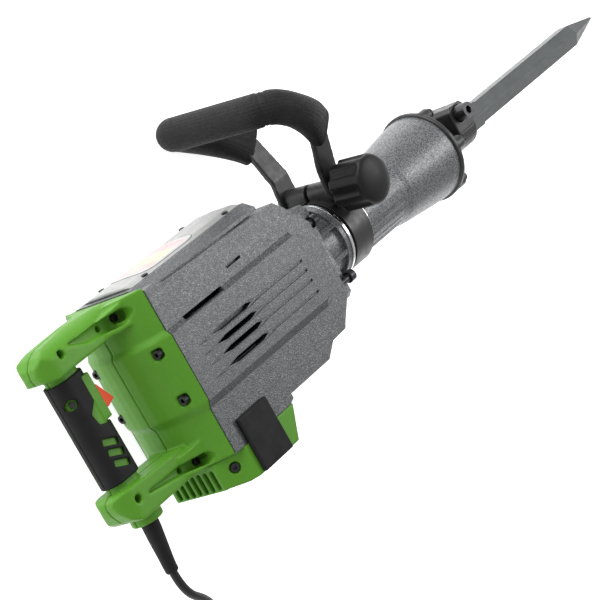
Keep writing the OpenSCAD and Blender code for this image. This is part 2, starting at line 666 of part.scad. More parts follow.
module handle_band() placed() color([0.13, 0.13, 0.14]) swivelled() difference() {
    union() {
        along_x(clamp_x - 17) cylinder(r = 44.5, h = 34, $fn = 96);
        // Ears on both sides of the slit
        translate([clamp_x, clamp_h, -31]) cylinder(r = 11, h = 62, $fn = 48);
        translate([clamp_x - 11, 34, -31]) cube([22, 15, 62]);
    }
    along_x(clamp_x - 20) cylinder(r = neck_r + 0.05, h = 40, $fn = 96);
    translate([clamp_x - 20, 30, -2.5]) cube([40, 40, 5]);
    translate([clamp_x, clamp_h, -40]) cylinder(r = 5 + running, h = 80, $fn = 32);
}

// Two flat straps from the clamp bolt up into the rubber
module handle_arms() placed() color([0.13, 0.13, 0.14]) swivelled() for (side = [-1, 1])
    mirror([0, 0, side > 0 ? 0 : 1]) difference() {
        union() {
            slab(31.3, 37.3) hull() {
                translate([clamp_x, clamp_h]) circle(r = 16, $fn = 48);
                translate([clamp_x - 14.5, 72]) square([29, 4]);
            }
            hull() {
                translate([clamp_x - 14.5, 72, 31.3]) cube([29, 4, 6]);
                translate([clamp_x - 17, cuff_h + 2, cuff_t - 3]) cube([26, 2, 6]);
            }
            // Tongue inside the rubber
            hull() {
                translate([clamp_x - 17, cuff_h + 2, cuff_t - 3]) cube([26, 2, 6]);
                translate([12, 152, 66]) cube([20, 2, 6]);
            }
        }
        translate([clamp_x, clamp_h, 20]) cylinder(r = 5 + running, h = 40, $fn = 32);
    }

module handle_grip() placed() color([0.14, 0.14, 0.14]) swivelled() difference() {
    union() {
        translate([bar_x, bar_h, -bar_half]) cylinder(r = bar_r, h = 2*bar_half, $fn = 32);
        for (side = [-1, 1]) mirror([0, 0, side > 0 ? 0 : 1]) {
            hull() {
                translate([clamp_x - 23, cuff_h - 2, cuff_t - 9]) rotate([0, 0, 8]) cube([44, 4, 18]);
                translate([32, 140, 62]) scale([1, 1, 0.75]) sphere(r = 19, $fn = 24);
            }
            hull() {
                translate([32, 140, 62]) scale([1, 1, 0.75]) sphere(r = 19, $fn = 24);
                translate([2, 163, 72]) sphere(r = 18, $fn = 24);
            }
            hull() {
                translate([2, 163, 72]) sphere(r = 18, $fn = 24);
                translate([bar_x + 6, bar_h - 2, 71]) sphere(r = bar_r, $fn = 24);
            }
            hull() {
                translate([bar_x + 6, bar_h - 2, 71]) sphere(r = bar_r, $fn = 24);
                translate([bar_x, bar_h, bar_half - 2]) cylinder(r = bar_r, h = 2, $fn = 32);
            }
        }
    }
    // Space of the arms' tongues
    for (side = [-1, 1]) mirror([0, 0, side > 0 ? 0 : 1]) {
        hull() {
            translate([clamp_x - 14.5, 72, 31.3]) cube([29, 4, 6]);
            translate([clamp_x - 17, cuff_h + 2, cuff_t - 3]) cube([26, 2, 6]);
        }
        hull() {
            translate([clamp_x - 17, cuff_h + 2, cuff_t - 3]) cube([26, 2, 6]);
            translate([12, 152, 66]) cube([20, 2, 6]);
        }
    }
}

module clamp_bolt() placed() color([0.2, 0.2, 0.2]) swivelled() translate([clamp_x, clamp_h, -37.6]) {
    translate([0, 0, -6]) cylinder(r = 9, h = 6, $fn = 6);
    cylinder(r = 5, h = 109, $fn = 32);
}

module clamp_knob() placed() color([0.1, 0.1, 0.1]) swivelled() translate([clamp_x, clamp_h, 47]) difference() {
    union() {
        translate([0, 0, -9]) cylinder(r = 16, h = 10, $fn = 64);
        cylinder(r = 28, h = 48, $fn = 96);
    }
    for (a = [0:45:315]) rotate([0, 0, a]) translate([33.5, 0, -1]) cylinder(r = 9, h = 38, $fn = 24);
    translate([0, 0, -10]) cylinder(r = 5 + running, h = 35.5, $fn = 32);
}

// ---------------------------------------------------------------- outside small parts

module bumper_pads() placed() color([0.14, 0.14, 0.14]) for (side = [-1, 1])
    translate([-257, -127.5, side > 0 ? side_w : -side_w - 5]) cube([49, 60, 5]);

module cover_screws() placed() color([0.1, 0.1, 0.1]) cover_screw_places() cap_screw(3.5, 2, 2, 8);

module nose_bolts() placed() color([0.1, 0.1, 0.1]) nose_bolt_places() cap_screw(5.5, 6, 3, 34);

module flange_bolts() placed() color([0.08, 0.08, 0.08]) for (y = [-36, 36], z = [-48, 48])
    translate([y > 0 ? flange_x - 9 : flange_x, y, z]) rotate([0, 90, 0]) cap_screw(6.5, 8, 4.1, y > 0 ? 13 : 22);

// ---------------------------------------------------------------- cord

module cord_guard() placed() color([0.08, 0.08, 0.08]) {
    hull() {
        along_y(guard_x, -107.3) cylinder(r = 9.5, h = 3, $fn = 32);
        translate([guard_end[0], guard_end[1], 0]) rotate([-90, 0, 0]) cylinder(r = 6.2, h = 2, $fn = 32);
    }
}

function unit(v) = v/norm(v);
function tangent(p, i) = unit(p[min(i + 1, len(p) - 1)] - p[max(i - 1, 0)]);
function ring_points(c, t, sides) =
    let (side = unit(cross(t, [0.05, 0.1, 1])), up = cross(side, t))
    [for (k = [0:sides - 1]) c + r_cord*(cos(360*k/sides)*side + sin(360*k/sides)*up)];

module tube(path, sides = 10) {
    rings = len(path);
    pts = [for (i = [0:rings - 1]) each ring_points(path[i], tangent(path, i), sides)];
    walls = [for (i = [0:rings - 2], k = [0:sides - 1])
        [i*sides + k, i*sides + (k + 1)%sides, (i + 1)*sides + (k + 1)%sides, (i + 1)*sides + k]];
    polyhedron(pts, concat(walls, [[for (k = [sides - 1:-1:0]) k],
        [for (k = [0:sides - 1]) (rings - 1)*sides + k]]));
}

module cord_tube() placed() color([0.06, 0.06, 0.06]) tube(cord_route);

module cord_coil() placed() color([0.06, 0.06, 0.06]) translate([coil_x, coil_y, -lift])
    rotate_extrude($fn = 96) polygon([[coil_d/2 - coil_w, 0], [coil_d/2, 0], [coil_d/2, coil_h],
        [coil_d/2 - coil_w, coil_h]]);

// Two-pin mains plug, lying on the coil where the cord ends
plug_r = 17;
plug_turn = -234;
module plug() placed() color([0.08, 0.08, 0.08]) translate([coil_x, coil_y, 0]) rotate(plug_turn)
    translate([coil_d/2 - 1.5*cord_d, 0, coil_h + plug_r - lift]) rotate(-90) {
    rotate([0, 90, 0]) cylinder(r = 6, h = 14, $fn = 32);
    translate([12, 0, 0]) rotate([0, 90, 0]) cylinder(r = plug_r, h = 20, $fn = 48);
    for (side = [-1, 1]) translate([31, side*9.5, 0]) rotate([0, 90, 0]) cylinder(r = 2.4, h = 19, $fn = 24);
}

crank_housing();
top_cover();
handle_shell_right();
handle_shell_left();
tail_cover();
barrel();
collar_rings();
cylinder_liner();
barrel_sleeve();
nose_cover();
tool_bushing();
tool_retainer();
retainer_spring();
bit();
impact_bolt();
buffer_ring();
striker();
striker_seal();
piston();
piston_seal();
wrist_pin();
connecting_rod();
crank_pin();
crankshaft();
crank_gear();
crank_bearings();
gear_cover();
gear_plate();
intermediate_shaft();
intermediate_wheel();
intermediate_bearings();
armature();
commutator();
cooling_fan();
stator();
motor_bearings();
fan_baffle();
carbon_brushes();
brush_holders();
grip_right();
grip_left();
switch_body();
trigger();
trigger_spring();
lock_button();
handle_band();
handle_arms();
handle_grip();
clamp_bolt();
clamp_knob();
bumper_pads();
cover_screws();
handle_screws();
nose_bolts();
tail_screws();
flange_bolts();
cord_guard();
cord_tube();
cord_coil();
plug();
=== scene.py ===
"""Electric demolition hammer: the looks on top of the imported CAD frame."""
import bpy
import math
from mathutils import Matrix, Vector


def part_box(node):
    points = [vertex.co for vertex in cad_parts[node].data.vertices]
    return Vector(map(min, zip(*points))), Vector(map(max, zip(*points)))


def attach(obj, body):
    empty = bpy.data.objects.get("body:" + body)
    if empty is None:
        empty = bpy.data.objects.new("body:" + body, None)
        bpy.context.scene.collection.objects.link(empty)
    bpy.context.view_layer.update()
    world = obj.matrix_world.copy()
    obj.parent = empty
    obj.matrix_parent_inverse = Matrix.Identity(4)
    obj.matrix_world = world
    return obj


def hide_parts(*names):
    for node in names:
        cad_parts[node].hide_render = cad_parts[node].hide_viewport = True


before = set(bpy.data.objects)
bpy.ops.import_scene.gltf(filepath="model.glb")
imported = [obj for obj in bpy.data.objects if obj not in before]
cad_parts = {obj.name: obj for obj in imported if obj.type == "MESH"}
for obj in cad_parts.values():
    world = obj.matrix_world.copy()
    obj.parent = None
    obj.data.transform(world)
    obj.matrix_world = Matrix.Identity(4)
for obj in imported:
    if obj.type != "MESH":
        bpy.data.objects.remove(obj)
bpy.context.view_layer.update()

# ---------------------------------------------------------------- tool coordinates, in millimetres
# a runs along the hammer axis, u is the height above it, s the distance from the middle plane
BIT_LO, BIT_HI = (Vector(c)*1000 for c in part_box("bit"))
BIT_TIP = 676.0
ORIGIN = Vector((BIT_HI.x - BIT_TIP, (BIT_LO.y + BIT_HI.y)/2, (BIT_LO.z + BIT_HI.z)/2))


def tool(a, u, s):
    """A point of the tool in the row frame, in metres."""
    return (ORIGIN + Vector((a, u, s)))/1000


def swivelled(a, u, s, turn=math.radians(5)):
    """A point of the side handle, which is turned a little about the hammer axis."""
    return tool(a, u*math.cos(turn) - s*math.sin(turn), u*math.sin(turn) + s*math.cos(turn))


# ---------------------------------------------------------------- camera
# The camera's own axes, and its place in tool coordinates
RIGHT = Vector((0.539, -0.4772, 0.694))
UP = Vector((0.460, 0.857, 0.232))
BACK = Vector((-0.7056, 0.1944, 0.6814))
CAMERA_AT = (-1901.9, 481.0, 1807.1)
camera = bpy.data.objects.new("camera", bpy.data.cameras.new("camera"))
bpy.context.collection.objects.link(camera)
camera.data.lens = 150
camera.data.sensor_width = 36
camera.data.clip_end = 20
turn = Matrix((RIGHT, UP, BACK)).transposed().to_quaternion()
camera.matrix_world = Matrix.LocRotScale(tool(*CAMERA_AT), turn, None)
bpy.context.scene.camera = camera


# ---------------------------------------------------------------- materials
class Paint:
    """A principled material whose colour, roughness and bump are built up from noise, in metres."""

    def __init__(self, name, color, rough, metallic=0.0, **sockets):
        self.material = bpy.data.materials.new(name)
        self.material.use_nodes = True
        self.tree = self.material.node_tree
        self.shader = self.tree.nodes["Principled BSDF"]
        self.shader.inputs["Base Color"].default_value = (*color, 1)
        self.shader.inputs["Roughness"].default_value = rough
        self.shader.inputs["Metallic"].default_value = metallic
        for key, value in sockets.items():
            self.shader.inputs[key.replace("_", " ")].default_value = value
        self.where = self.tree.nodes.new("ShaderNodeTexCoord").outputs["Object"]
        self.color = None
        self.base = (*color, 1)
        self.rough = rough
        self.normal = None

    def link(self, a, b):
        self.tree.links.new(a, b)

    def noise(self, scale, detail=3.0, stretch=(1, 1, 1)):
        node = self.tree.nodes.new("ShaderNodeTexNoise")
        node.inputs["Scale"].default_value = scale
        node.inputs["Detail"].default_value = detail
        place = self.where
        if stretch != (1, 1, 1):
            mapping = self.tree.nodes.new("ShaderNodeMapping")
            mapping.inputs["Scale"].default_value = stretch
            self.link(place, mapping.inputs["Vector"])
            place = mapping.outputs["Vector"]
        self.link(place, node.inputs["Vector"])
        return node.outputs["Fac"]

    def cells(self, scale, smooth=0.6):
        node = self.tree.nodes.new("ShaderNodeTexVoronoi")
        node.feature = "SMOOTH_F1"
        node.inputs["Scale"].default_value = scale
        node.inputs["Smoothness"].default_value = smooth
        self.link(self.where, node.inputs["Vector"])
        return node.outputs["Distance"]

    def ramp(self, value, low, high, a, b):
        node = self.tree.nodes.new("ShaderNodeMapRange")
        node.inputs["From Min"].default_value = low
        node.inputs["From Max"].default_value = high
        node.inputs["To Min"].default_value = a
        node.inputs["To Max"].default_value = b
        self.link(value, node.inputs["Value"])
        return node.outputs["Result"]

    def edges(self, radius=0.0012):
        """1 on convex and concave edges, 0 on flats."""
        bevel = self.tree.nodes.new("ShaderNodeBevel")
        bevel.samples = 4
        bevel.inputs["Radius"].default_value = radius
        here = self.tree.nodes.new("ShaderNodeNewGeometry")
        dot = self.tree.nodes.new("ShaderNodeVectorMath")
        dot.operation = "DOT_PRODUCT"
        self.link(bevel.outputs["Normal"], dot.inputs[0])
        self.link(here.outputs["Normal"], dot.inputs[1])
        return self.ramp(dot.outputs["Value"], 0.99, 0.85, 0, 1)

    def mix(self, factor, color):
        """Lays colour over what is there, by factor."""
        node = self.tree.nodes.new("ShaderNodeMix")
        node.data_type = "RGBA"
        self.link(factor, node.inputs["Factor"])
        if self.color:
            self.link(self.color, node.inputs["A"])
        else:
            node.inputs["A"].default_value = self.base
        node.inputs["B"].default_value = (*color, 1)
        self.color = node.outputs["Result"]
        self.link(self.color, self.shader.inputs["Base Color"])
        return self

    def roughness(self, value, low, high, spread):
        """Roughness spread about its middle by a texture value."""
        spread_out = self.ramp(value, low, high, self.rough - spread, self.rough + spread)
        self.link(spread_out, self.shader.inputs["Roughness"])
        return self

    def bump(self, value, height, strength=1.0):
        node = self.tree.nodes.new("ShaderNodeBump")
        node.inputs["Distance"].default_value = height
        node.inputs["Strength"].default_value = strength
        self.link(value, node.inputs["Height"])
        if self.normal:
            self.link(self.normal, node.inputs["Normal"])
        self.normal = node.outputs["Normal"]
        self.link(self.normal, self.shader.inputs["Normal"])
        return self

    def rounded(self, radius=0.0008):
        """Soft highlights along the edges."""
        bevel = self.tree.nodes.new("ShaderNodeBevel")
        bevel.samples = 4
        bevel.inputs["Radius"].default_value = radius
        self.normal = bevel.outputs["Normal"]
        self.link(self.normal, self.shader.inputs["Normal"])
        return self


def hammertone(name, tone):
    p = Paint(name, tone, 0.42, 0.35, Coat_Weight=0.25, Coat_Roughness=0.25).rounded(0.0012)
    lumps = p.cells(640)
    p.mix(p.ramp(lumps, 0.25, 0.62, 0, 0.8), (0.026, 0.028, 0.03))
    p.mix(p.ramp(p.noise(1050, 2), 0.54, 0.72, 0, 0.6), (0.34, 0.36, 0.365))
    p.mix(p.ramp(p.noise(9, 3), 0.45, 0.75, 0, 0.2), (0.06, 0.06, 0.06))
    p.mix(p.ramp(p.edges(0.0009), 0, 1, 0, 0.3), (0.33, 0.34, 0.35))
    p.roughness(p.noise(260, 3), 0.3, 0.7, 0.12)
    p.bump(p.ramp(lumps, 0.1, 0.7, 1, 0), 0.00018, 0.7)
    return p.bump(p.noise(1700, 2), 0.00005, 0.5).material


def moulded(name, color, rough, grain=0.00005, wear=None):
    p = Paint(name, color, rough, Specular_IOR_Level=0.22).rounded(0.001)
    p.mix(p.ramp(p.noise(14, 4), 0.42, 0.8, 0, 0.3), tuple(c*0.72 for c in color))
    p.mix(p.ramp(p.noise(420, 2), 0.5, 0.8, 0, 0.25), tuple(min(1, c*1.3 + 0.004) for c in color))
    if wear:
        p.mix(p.ramp(p.edges(0.0007), 0, 1, 0, 0.35), wear)
    p.roughness(p.noise(60, 4), 0.3, 0.7, 0.08)
    p.bump(p.noise(1300, 3), grain, 0.6)
    return p.material


def painted(name, color, rough, metallic=0.0, wear=(0.3, 0.3, 0.3)):
    p = Paint(name, color, rough, metallic, Coat_Weight=0.2, Coat_Roughness=0.3).rounded(0.001)
    p.mix(p.ramp(p.noise(22, 4), 0.45, 0.8, 0, 0.3), tuple(c*0.7 for c in color))
    p.mix(p.ramp(p.edges(0.0006), 0, 1, 0, 0.3), wear)
    p.roughness(p.noise(120, 3), 0.3, 0.7, 0.1)
    return p.bump(p.noise(700, 3), 0.00008, 0.5).material


def steel(name, color, rough, along=(1, 1, 1), metallic=1.0, bump=0.00002, dirt=0.3):
    p = Paint(name, color, rough, metallic).rounded(0.0006)
    p.mix(p.ramp(p.noise(30, 4), 0.45, 0.75, 0, dirt), tuple(c*0.55 for c in color))
    p.mix(p.ramp(p.noise(300, 4, along), 0.5, 0.75, 0, 0.35), tuple(min(1, c*1.5) for c in color))
    p.roughness(p.noise(400, 3, along), 0.3, 0.7, 0.12)
    return p.bump(p.noise(900, 3, along), bump, 0.7).material


def knurled_rubber(pitch_along, pitch_round):
    """Rubber of the side handle: small raised nubs, laid out along and round the sweep."""
    p = Paint("knurled_rubber", (0.009, 0.009, 0.0093), 0.62, Specular_IOR_Level=0.22)
    p.mix(p.ramp(p.noise(35, 4), 0.4, 0.8, 0, 0.5), (0.016, 0.0157, 0.0153))
    p.roughness(p.noise(300, 3), 0.3, 0.7, 0.1)
    uv = p.tree.nodes.new("ShaderNodeUVMap").outputs["UV"]
    split = p.tree.nodes.new("ShaderNodeSeparateXYZ")
    p.link(uv, split.inputs[0])

    def wave(value, count):
        scale = p.tree.nodes.new("ShaderNodeMath")
        scale.operation = "MULTIPLY"
        scale.inputs[1].default_value = count*2*math.pi
        p.link(value, scale.inputs[0])
        sine = p.tree.nodes.new("ShaderNodeMath")
        sine.operation = "SINE"
        p.link(scale.outputs[0], sine.inputs[0])
        return p.ramp(sine.outputs[0], -0.3, 0.5, 0, 1)

    both = p.tree.nodes.new("ShaderNodeMath")
    both.operation = "MULTIPLY"
    p.link(wave(split.outputs["X"], pitch_along), both.inputs[0])
    p.link(wave(split.outputs["Y"], pitch_round), both.inputs[1])
    p.bump(both.outputs[0], 0.0006, 0.9)
    return p.bump(p.noise(1500, 3), 0.00005, 0.5).material


def label_print():
    """Plain printed label: muted bands of colour along the tool, a grey border and a thin dark rim."""
    p = Paint("label_print", (0.4, 0.26, 0.24), 0.35, Coat_Weight=0.3, Coat_Roughness=0.2)
    split = p.tree.nodes.new("ShaderNodeSeparateXYZ")
    p.link(p.tree.nodes.new("ShaderNodeUVMap").outputs["UV"], split.inputs[0])
    p.mix(p.ramp(split.outputs["X"], 0.28, 0.45, 0, 1), (0.62, 0.46, 0.2))
    p.mix(p.ramp(split.outputs["X"], 0.52, 0.72, 0, 1), (0.58, 0.24, 0.26))
    p.mix(p.ramp(p.noise(45, 4), 0.42, 0.7, 0, 0.45), (0.5, 0.45, 0.4))
    p.mix(p.ramp(split.outputs["Y"], 0.8, 0.82, 0, 1), (0.34, 0.345, 0.34))
    p.mix(p.ramp(split.outputs["Y"], 0.962, 0.972, 0, 1), (0.02, 0.02, 0.02))
    p.roughness(p.noise(150, 3), 0.3, 0.7, 0.08)
    return p.bump(p.noise(900, 2), 0.00002, 0.4).material


M = {
    "hammertone": hammertone("hammertone", (0.082, 0.087, 0.09)),
    "barrel": hammertone("barrel_hammertone", (0.19, 0.2, 0.21)),
    "cover": painted("cover_enamel", (0.27, 0.275, 0.27), 0.4, 0.15, (0.6, 0.6, 0.6)),
    "green": moulded("green_plastic", (0.082, 0.25, 0.018), 0.4, 0.00006, (0.2, 0.42, 0.09)),
    "black_paint": painted("black_paint", (0.009, 0.009, 0.0095), 0.45, 0, (0.04, 0.04, 0.04)),
    "rubber": moulded("black_rubber", (0.007, 0.007, 0.0073), 0.62, 0.00012),
    "knurl": knurled_rubber(1/0.0024, 30),
    "plastic": moulded("black_plastic", (0.008, 0.008, 0.0083), 0.42, 0.00005, (0.04, 0.04, 0.04)),
    "trigger": moulded("trigger_plastic", (0.8, 0.075, 0.018), 0.3, 0.00002, (0.9, 0.2, 0.1)),
    "machined": steel("machined_steel", (0.5, 0.51, 0.53), 0.3, (1, 6, 6)),
    "gear": steel("gear_steel", (0.36, 0.36, 0.37), 0.38, (1, 8, 1)),
    "forged": steel("forged_steel", (0.15, 0.16, 0.16), 0.42, (0.25, 2, 2), 0.85, 0.00012, 0.5),
    "retainer": steel("retainer_steel", (0.07, 0.07, 0.075), 0.36, (1, 1, 6), 0.9),
    "screw": steel("screw_steel", (0.045, 0.045, 0.05), 0.38, metallic=0.9),
    "bright": steel("bright_ring", (0.66, 0.67, 0.68), 0.18, (1, 4, 4), dirt=0.15),
    "cast": steel("cast_aluminium", (0.11, 0.11, 0.115), 0.6, bump=0.0001),
    "copper": steel("copper_bars", (0.62, 0.26, 0.12), 0.3, (1, 8, 1)),
    "winding": painted("varnish", (0.07, 0.028, 0.015), 0.45, 0.1),
    "brass": steel("brass", (0.6, 0.42, 0.16), 0.3),
    "label": label_print(),
    "cord": moulded("cord_sheath", (0.016, 0.016, 0.016), 0.5, 0.00003),
}
USED_BY = {
    "hammertone": ["crank_housing"],
    "barrel": ["barrel"],
    "cover": ["top_cover"],
    "green": ["handle_shell_right", "handle_shell_left", "tail_cover"],
    "bright": ["collar_rings"],
    "black_paint": ["nose_cover", "handle_band", "handle_arms"],
    "machined": ["cylinder_liner", "barrel_sleeve", "tool_bushing", "retainer_spring", "impact_bolt", "striker",
                 "wrist_pin", "crank_pin", "crank_bearings", "intermediate_bearings", "motor_bearings",
                 "trigger_spring"],
    "gear": ["crankshaft", "crank_gear", "intermediate_shaft", "intermediate_wheel"],
    "forged": ["bit"],
    "retainer": ["tool_retainer"],
    "screw": ["clamp_bolt", "cover_screws", "handle_screws", "nose_bolts", "tail_screws", "flange_bolts"],
    "cast": ["piston", "connecting_rod", "gear_cover", "gear_plate"],
    "copper": ["commutator"],
    "winding": ["armature", "stator"],
    "brass": ["brush_holders"],
    "rubber": ["grip_right", "grip_left", "bumper_pads", "buffer_ring", "striker_seal", "piston_seal",
               "plug"],
    "plastic": ["cooling_fan", "fan_baffle", "carbon_brushes", "switch_body", "lock_button", "clamp_knob"],
    "trigger": ["trigger"],
    "cord": ["cord_guard", "cord_tube", "cord_coil"],
    "knurl": ["handle_grip"],
}
for finish_name, names in USED_BY.items():
    for name in names:
        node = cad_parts[name]
        node.data.materials.clear()
        node.data.materials.append(M[finish_name])


# ---------------------------------------------------------------- rounded edges of moulded and cast parts
# Size of the even mesh that each is rebuilt with, in metres
VOXEL = {"handle_shell_right": 0.0012, "handle_shell_left": 0.0012, "tail_cover": 0.0012,
         "grip_right": 0.0009, "grip_left": 0.0009, "bumper_pads": 0.0012, "nose_cover": 0.0011,
         "top_cover": 0.0012, "trigger": 0.0007, "handle_arms": 0.0012, "lock_button": 0.0006}
for name, voxel in VOXEL.items():
    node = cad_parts[name]
    remesh = node.modifiers.new("even_mesh", "REMESH")
    remesh.mode = "VOXEL"
    remesh.voxel_size = voxel
    remesh.use_smooth_shade = True
    soften = node.modifiers.new("soften", "SMOOTH")
    soften.factor = 0.5
    soften.iterations = 4
# Softening rounds the foot of the lock button's hole, so the button is drawn in all round to clear it
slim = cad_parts["lock_button"].modifiers.new("slim", "DISPLACE")
slim.strength = -0.0006
slim.mid_level = 0


# ---------------------------------------------------------------- mesh helpers
def add_mesh(name, points, faces, finish_name, body, uvs=None):
    """A smooth-shaded piece from bare points and faces, riding on a body."""
    mesh = bpy.data.meshes.new(name)
    mesh.from_pydata([tuple(p) for p in points], [], faces)
    mesh.materials.append(M[finish_name])
    for face in mesh.polygons:
        face.use_smooth = True
    if uvs:
        layer = mesh.uv_layers.new(name="UVMap")
        for loop in mesh.loops:
            layer.data[loop.index].uv = uvs[loop.vertex_index]
    mesh.update()
    piece = bpy.data.objects.new(name, mesh)
    bpy.context.collection.objects.link(piece)
    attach(piece, body)
    return piece


def grid_faces(rings, sides):
    """Quads between closed rings of points, with both ends closed."""
    walls = [(i*sides + k, i*sides + (k + 1) % sides, (i + 1)*sides + (k + 1) % sides, (i + 1)*sides + k)
             for i in range(rings - 1) for k in range(sides)]
    return walls + [tuple(reversed(range(sides))), tuple(range((rings - 1)*sides, rings*sides))]


def smooth_path(points, step):
    """Catmull-Rom curve through the points, resampled at even steps."""
    points = [Vector(p) for p in points]
    ends = [2*points[0] - points[1]] + points + [2*points[-1] - points[-2]]
    dense = []
    for i in range(1, len(ends) - 2):
        p0, p1, p2, p3 = ends[i - 1:i + 3]
        for k in range(24):
            t = k/24
            dense.append(0.5*(2*p1 + (p2 - p0)*t + (2*p0 - 5*p1 + 4*p2 - p3)*t*t
                              + (3*p1 - p0 - 3*p2 + p3)*t**3))
    dense.append(points[-1])
    lengths = [0.0]
    for p, q in zip(dense, dense[1:]):
        lengths.append(lengths[-1] + (q - p).length)
    count = max(2, round(lengths[-1]/step))
    out, j = [], 0
    for i in range(count + 1):
        goal = lengths[-1]*i/count
        while j < len(lengths) - 2 and lengths[j + 1] < goal:
            j += 1
        t = (goal - lengths[j])/max(1e-9, lengths[j + 1] - lengths[j])
        out.append(dense[j].lerp(dense[j + 1], min(1, max(0, t))))
    return out


def sweep(path, section, side):
    """Points of a closed section carried along a path without twist.

    section(i, angle) gives the point's distance along side and across it, at the path's point i."""
    rings, uvs, length = [], [], 0.0
    side = Vector(side)
    sides = 48
    for i, p in enumerate(path):
        ahead = path[min(i + 1, len(path) - 1)] - path[max(i - 1, 0)]
        ahead.normalize()
        side = (side - ahead*side.dot(ahead)).normalized()
        other = ahead.cross(side)
        if i:
            length += (p - path[i - 1]).length
        for k in range(sides):
            angle = 2*math.pi*k/sides
            x, y = section(i, angle)
            rings.append(p + side*x + other*y)
            uvs.append((length/1000, k/sides))
    return rings, uvs, sides


# ---------------------------------------------------------------- cord
# Route from the guard to where the coil starts, the same points as in the CAD
CORD_D = 9.0
CORD_ROUTE = [(-372, -160, 0), (-371.9, -166, -0.1), (-370.5, -175, -0.8), (-367.1, -183.6, -2.5),
              (-361.9, -191.3, -5.1), (-355.2, -197.7, -8.4), (-347, -203.9, -12.7), (-336, -213, -20),
              (-325, -224, -29), (-314, -236, -39),
              (-303, -250, -49), (-292, -264, -58), (-280, -279, -65.5), (-267, -293, -70),
              (-253, -306, -71.5), (-238, -317, -71.5), (-222, -326, -71.5), (-206, -331, -71.5)]
FLOOR_S = -71.5
COIL_R = 135/2 - CORD_D/2
COIL_A, COIL_U = -200.0, -331.5 - COIL_R
PLUG_TURN = math.radians(-234)                # where round the coil the plug lies
TAIL_RISE = 21.5                              # climb of the cord's end from the coil to the plug's tail


def ease(t):
    """0 before 0, 1 after 1, and smooth between."""
    t = min(1, max(0, t))
    return t*t*(3 - 2*t)


def coil_points():
    """Three turns side by side, three on top of them, and the rest on top, ending under the plug's tail."""
    lanes = [0, 1, 2, 2, 1, 0, 1, 0]          # lane of each turn, counted from the outside
    layers = [0, 0, 0, 1, 1, 1, 2, 2]
    turns = 7 + (math.pi/2 - PLUG_TURN)/(2*math.pi)
    steps = round(turns*36)
    for i in range(steps + 1):
        t = turns*i/steps
        n = int(t)
        cross = ease((t - n - 0.55)/0.45) if n < 7 else 0
        lane = lanes[n] + (lanes[min(n + 1, 7)] - lanes[n])*cross
        layer = layers[n] + (layers[min(n + 1, 7)] - layers[n])*cross
        rise = ease((t - turns + 0.31)/0.3)
        lane = lane + (1 - lane)*rise
        height = FLOOR_S + layer*CORD_D + rise*TAIL_RISE
        radius = COIL_R - lane*CORD_D
        angle = math.pi/2 - 2*math.pi*t
        yield (COIL_A + radius*math.cos(angle), COIL_U + radius*math.sin(angle), height)


cord_path = smooth_path([tool(*p)*1000 for p in CORD_ROUTE], 4) + [tool(*p)*1000 for p in coil_points()]
cord_path = [p/1000 for p in cord_path]
spline_data = bpy.data.curves.new("cord", "CURVE")
spline_data.dimensions = "3D"
spline_data.bevel_depth = CORD_D/2000
spline_data.bevel_resolution = 4
spline_data.use_fill_caps = True
spline = spline_data.splines.new("POLY")
spline.points.add(len(cord_path) - 1)
for point, place in zip(spline.points, cord_path):
    point.co = (*place, 1)
spline.use_smooth = True
spline_data.materials.append(M["cord"])
cord = bpy.data.objects.new("cord", spline_data)
bpy.context.collection.objects.link(cord)
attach(cord, "housing")
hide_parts("cord_tube", "cord_coil")

# ---------------------------------------------------------------- cord guard
GUARD = [(-366, -104.2, 0), (-366.6, -112, 0), (-368.2, -124, 0), (-370, -139, 0), (-371.5, -151, 0),
         (-372, -160, 0)]


def guard_radius(t):
    """Smooth taper with a rounded end."""
    return 9.5 - 2.6*ease(t) - 0.9*ease((t - 0.97)/0.03)


guard_path = smooth_path([tool(*p)*1000 for p in GUARD], 0.6)
last = len(guard_path) - 1


def guard_section(i, angle):
    radius = guard_radius(i/last)
    return (radius*math.cos(angle), radius*math.sin(angle))


rings, uvs, sides = sweep(guard_path, guard_section, (1, 0, 0))
guard = add_mesh("guard", [p/1000 for p in rings], grid_faces(len(guard_path), sides), "rubber",
                 "housing", uvs=uvs)
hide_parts("cord_guard")

# ---------------------------------------------------------------- rubber of the side handle
BAR_A, BAR_U, BAR_R = -30, 176.5, 18.5
CUFF_WIDE, CUFF_THICK = 22, 9.5               # half sizes of the flat cuff at the arm's end
GROOVES = (64.8, 67.7)                        # the two rings round each end of the bar
ARM = [(61, 117, 50), (54, 125, 54), (44, 134, 59.5), (32, 143, 64.5), (18, 152.5, 69),
       (3, 162, 71.8), (-10, 169.5, 72), (-20, 174, 69.5), (-27, 176, 65), (BAR_A, BAR_U, 58),
       (BAR_A, BAR_U, 40), (BAR_A, BAR_U, 20)]
half = [Vector(p) for p in ARM]
whole = half + [Vector((BAR_A, BAR_U, 0))] + [Vector((p.x, p.y, -p.z)) for p in reversed(half)]
grip_path = smooth_path(whole, 1.1)


def grip_section(i, angle):
    p = grip_path[i]
    reach = abs(p.z)
    out = ease((p.y - 117)/42)                 # 0 at the flat cuff, 1 on the round bar
    wide = CUFF_WIDE + (BAR_R - CUFF_WIDE)*out
    thick = CUFF_THICK + (BAR_R - CUFF_THICK)*out
    power = 0.6 + 0.4*out
    if p.y > 174:
        for groove in GROOVES:
            wide -= 1.3*math.exp(-((reach - groove)/1.1)**2)
            thick -= 1.3*math.exp(-((reach - groove)/1.1)**2)
    # Narrow chamfer at the end of the cuff
    lip = ease((p.y - 116.9)/1.2)
    wide -= 0.7*(1 - lip)
    thick -= 0.7*(1 - lip)
    c, s = math.cos(angle), math.sin(angle)
    return (wide*math.copysign(abs(c)**power, c), thick*math.copysign(abs(s)**power, s))


